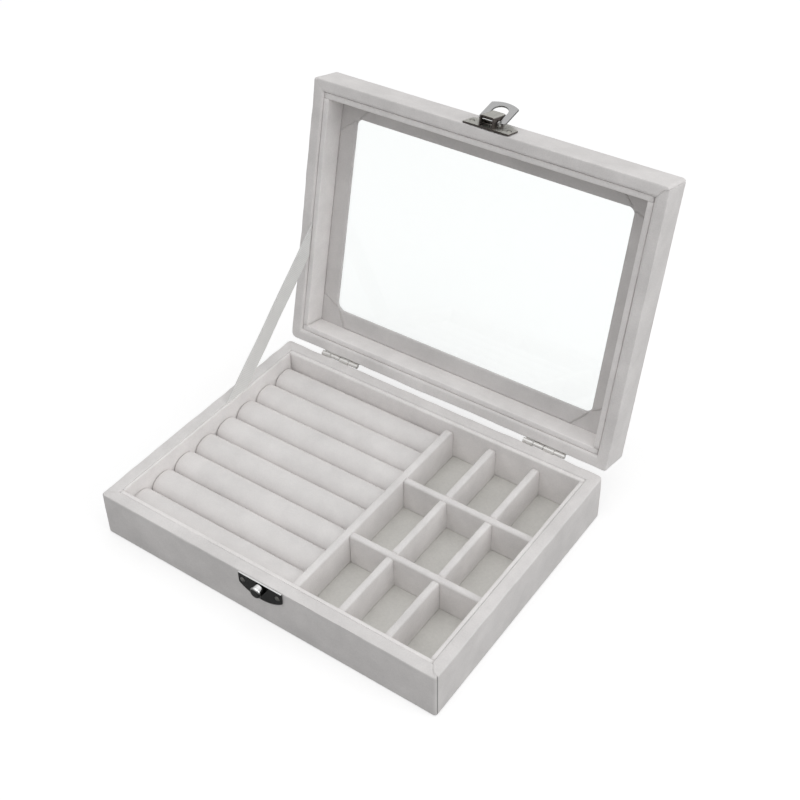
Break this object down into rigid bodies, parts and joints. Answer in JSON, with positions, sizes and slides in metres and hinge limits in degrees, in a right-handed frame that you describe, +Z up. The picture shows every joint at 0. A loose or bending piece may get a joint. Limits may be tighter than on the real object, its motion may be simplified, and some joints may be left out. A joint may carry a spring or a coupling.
{
  "type": "ring display box",
  "caption": "Velvet-covered display box with ring rolls, small compartments and a hinged glass-windowed lid held open by a ribbon stay.",
  "frame": {"origin": "centre of the flat underside of the base", "axes": "+X to the right as seen from the latch side, +Y to the hinges, +Z up; lid standing open at 103.5 degrees"},
  "size_m": [0.2, 0.2123, 0.1797],
  "materials": {
    "velvet": "short-pile velvet, pale warm grey",
    "roll_velvet": "short-pile velvet over foam",
    "felt": "thin grey felt",
    "board": "raw fibreboard",
    "nickel": "bright nickel plate",
    "ribbon": "woven satin ribbon",
    "glass": "clear float glass"
  },
  "bodies": {
    "base": {"bottom_board": "board", "bottom_felt": "felt", "base_front_wall": "board", "base_back_wall": "board", "base_left_wall": "board", "base_right_wall": "board", "base_wrap": "velvet", "floor_lining": "felt", "base_liner_front": "velvet", "base_liner_back": "velvet", "base_liner_left": "velvet", "base_liner_right": "velvet", "centre_divider": "velvet", "row_divider_front": "velvet", "row_divider_back": "velvet", "column_divider_left": "velvet", "column_divider_right": "velvet", "ring_roll_1": "roll_velvet", "ring_roll_2": "roll_velvet", "ring_roll_3": "roll_velvet", "ring_roll_4": "roll_velvet", "ring_roll_5": "roll_velvet", "ring_roll_6": "roll_velvet", "ring_roll_7": "roll_velvet", "ring_roll_8": "roll_velvet", "hinge_left_base_leaf": "nickel", "hinge_right_base_leaf": "nickel", "hinge_left_pin": "nickel", "hinge_right_pin": "nickel", "hinge_base_nails": "nickel", "catch_plate": "nickel", "catch_knob": "nickel", "catch_nails": "nickel", "ribbon_stay": "ribbon"},
    "lid": {"lid_front_wall": "board", "lid_back_wall": "board", "lid_left_wall": "board", "lid_right_wall": "board", "lid_top_board": "board", "lid_wrap": "velvet", "window_glass": "glass", "window_bezel": "velvet", "lid_liner_front": "velvet", "lid_liner_back": "velvet", "lid_liner_left": "velvet", "lid_liner_right": "velvet", "hinge_left_lid_leaf": "nickel", "hinge_right_lid_leaf": "nickel", "hinge_lid_nails": "nickel", "hasp_plate": "nickel", "hasp_spring": "nickel", "hasp_nails": "nickel"},
    "hasp": {"hasp_tongue": "nickel", "hasp_pin": "nickel"}
  },
  "joints": [
    {"name": "lid_hinge", "type": "hinge", "parent": "base", "child": "lid", "pos_m": [0, 0.07625, 0.0265], "axis": [1, 0, 0], "range_deg": [0, 103.5], "deforming": ["ribbon_stay"]},
    {"name": "hasp_hinge", "type": "hinge", "parent": "lid", "child": "hasp", "pos_m": [0.003, 0.11727, 0.17508], "axis": [1, 0, 0], "range_deg": [0, 156]}
  ]
}
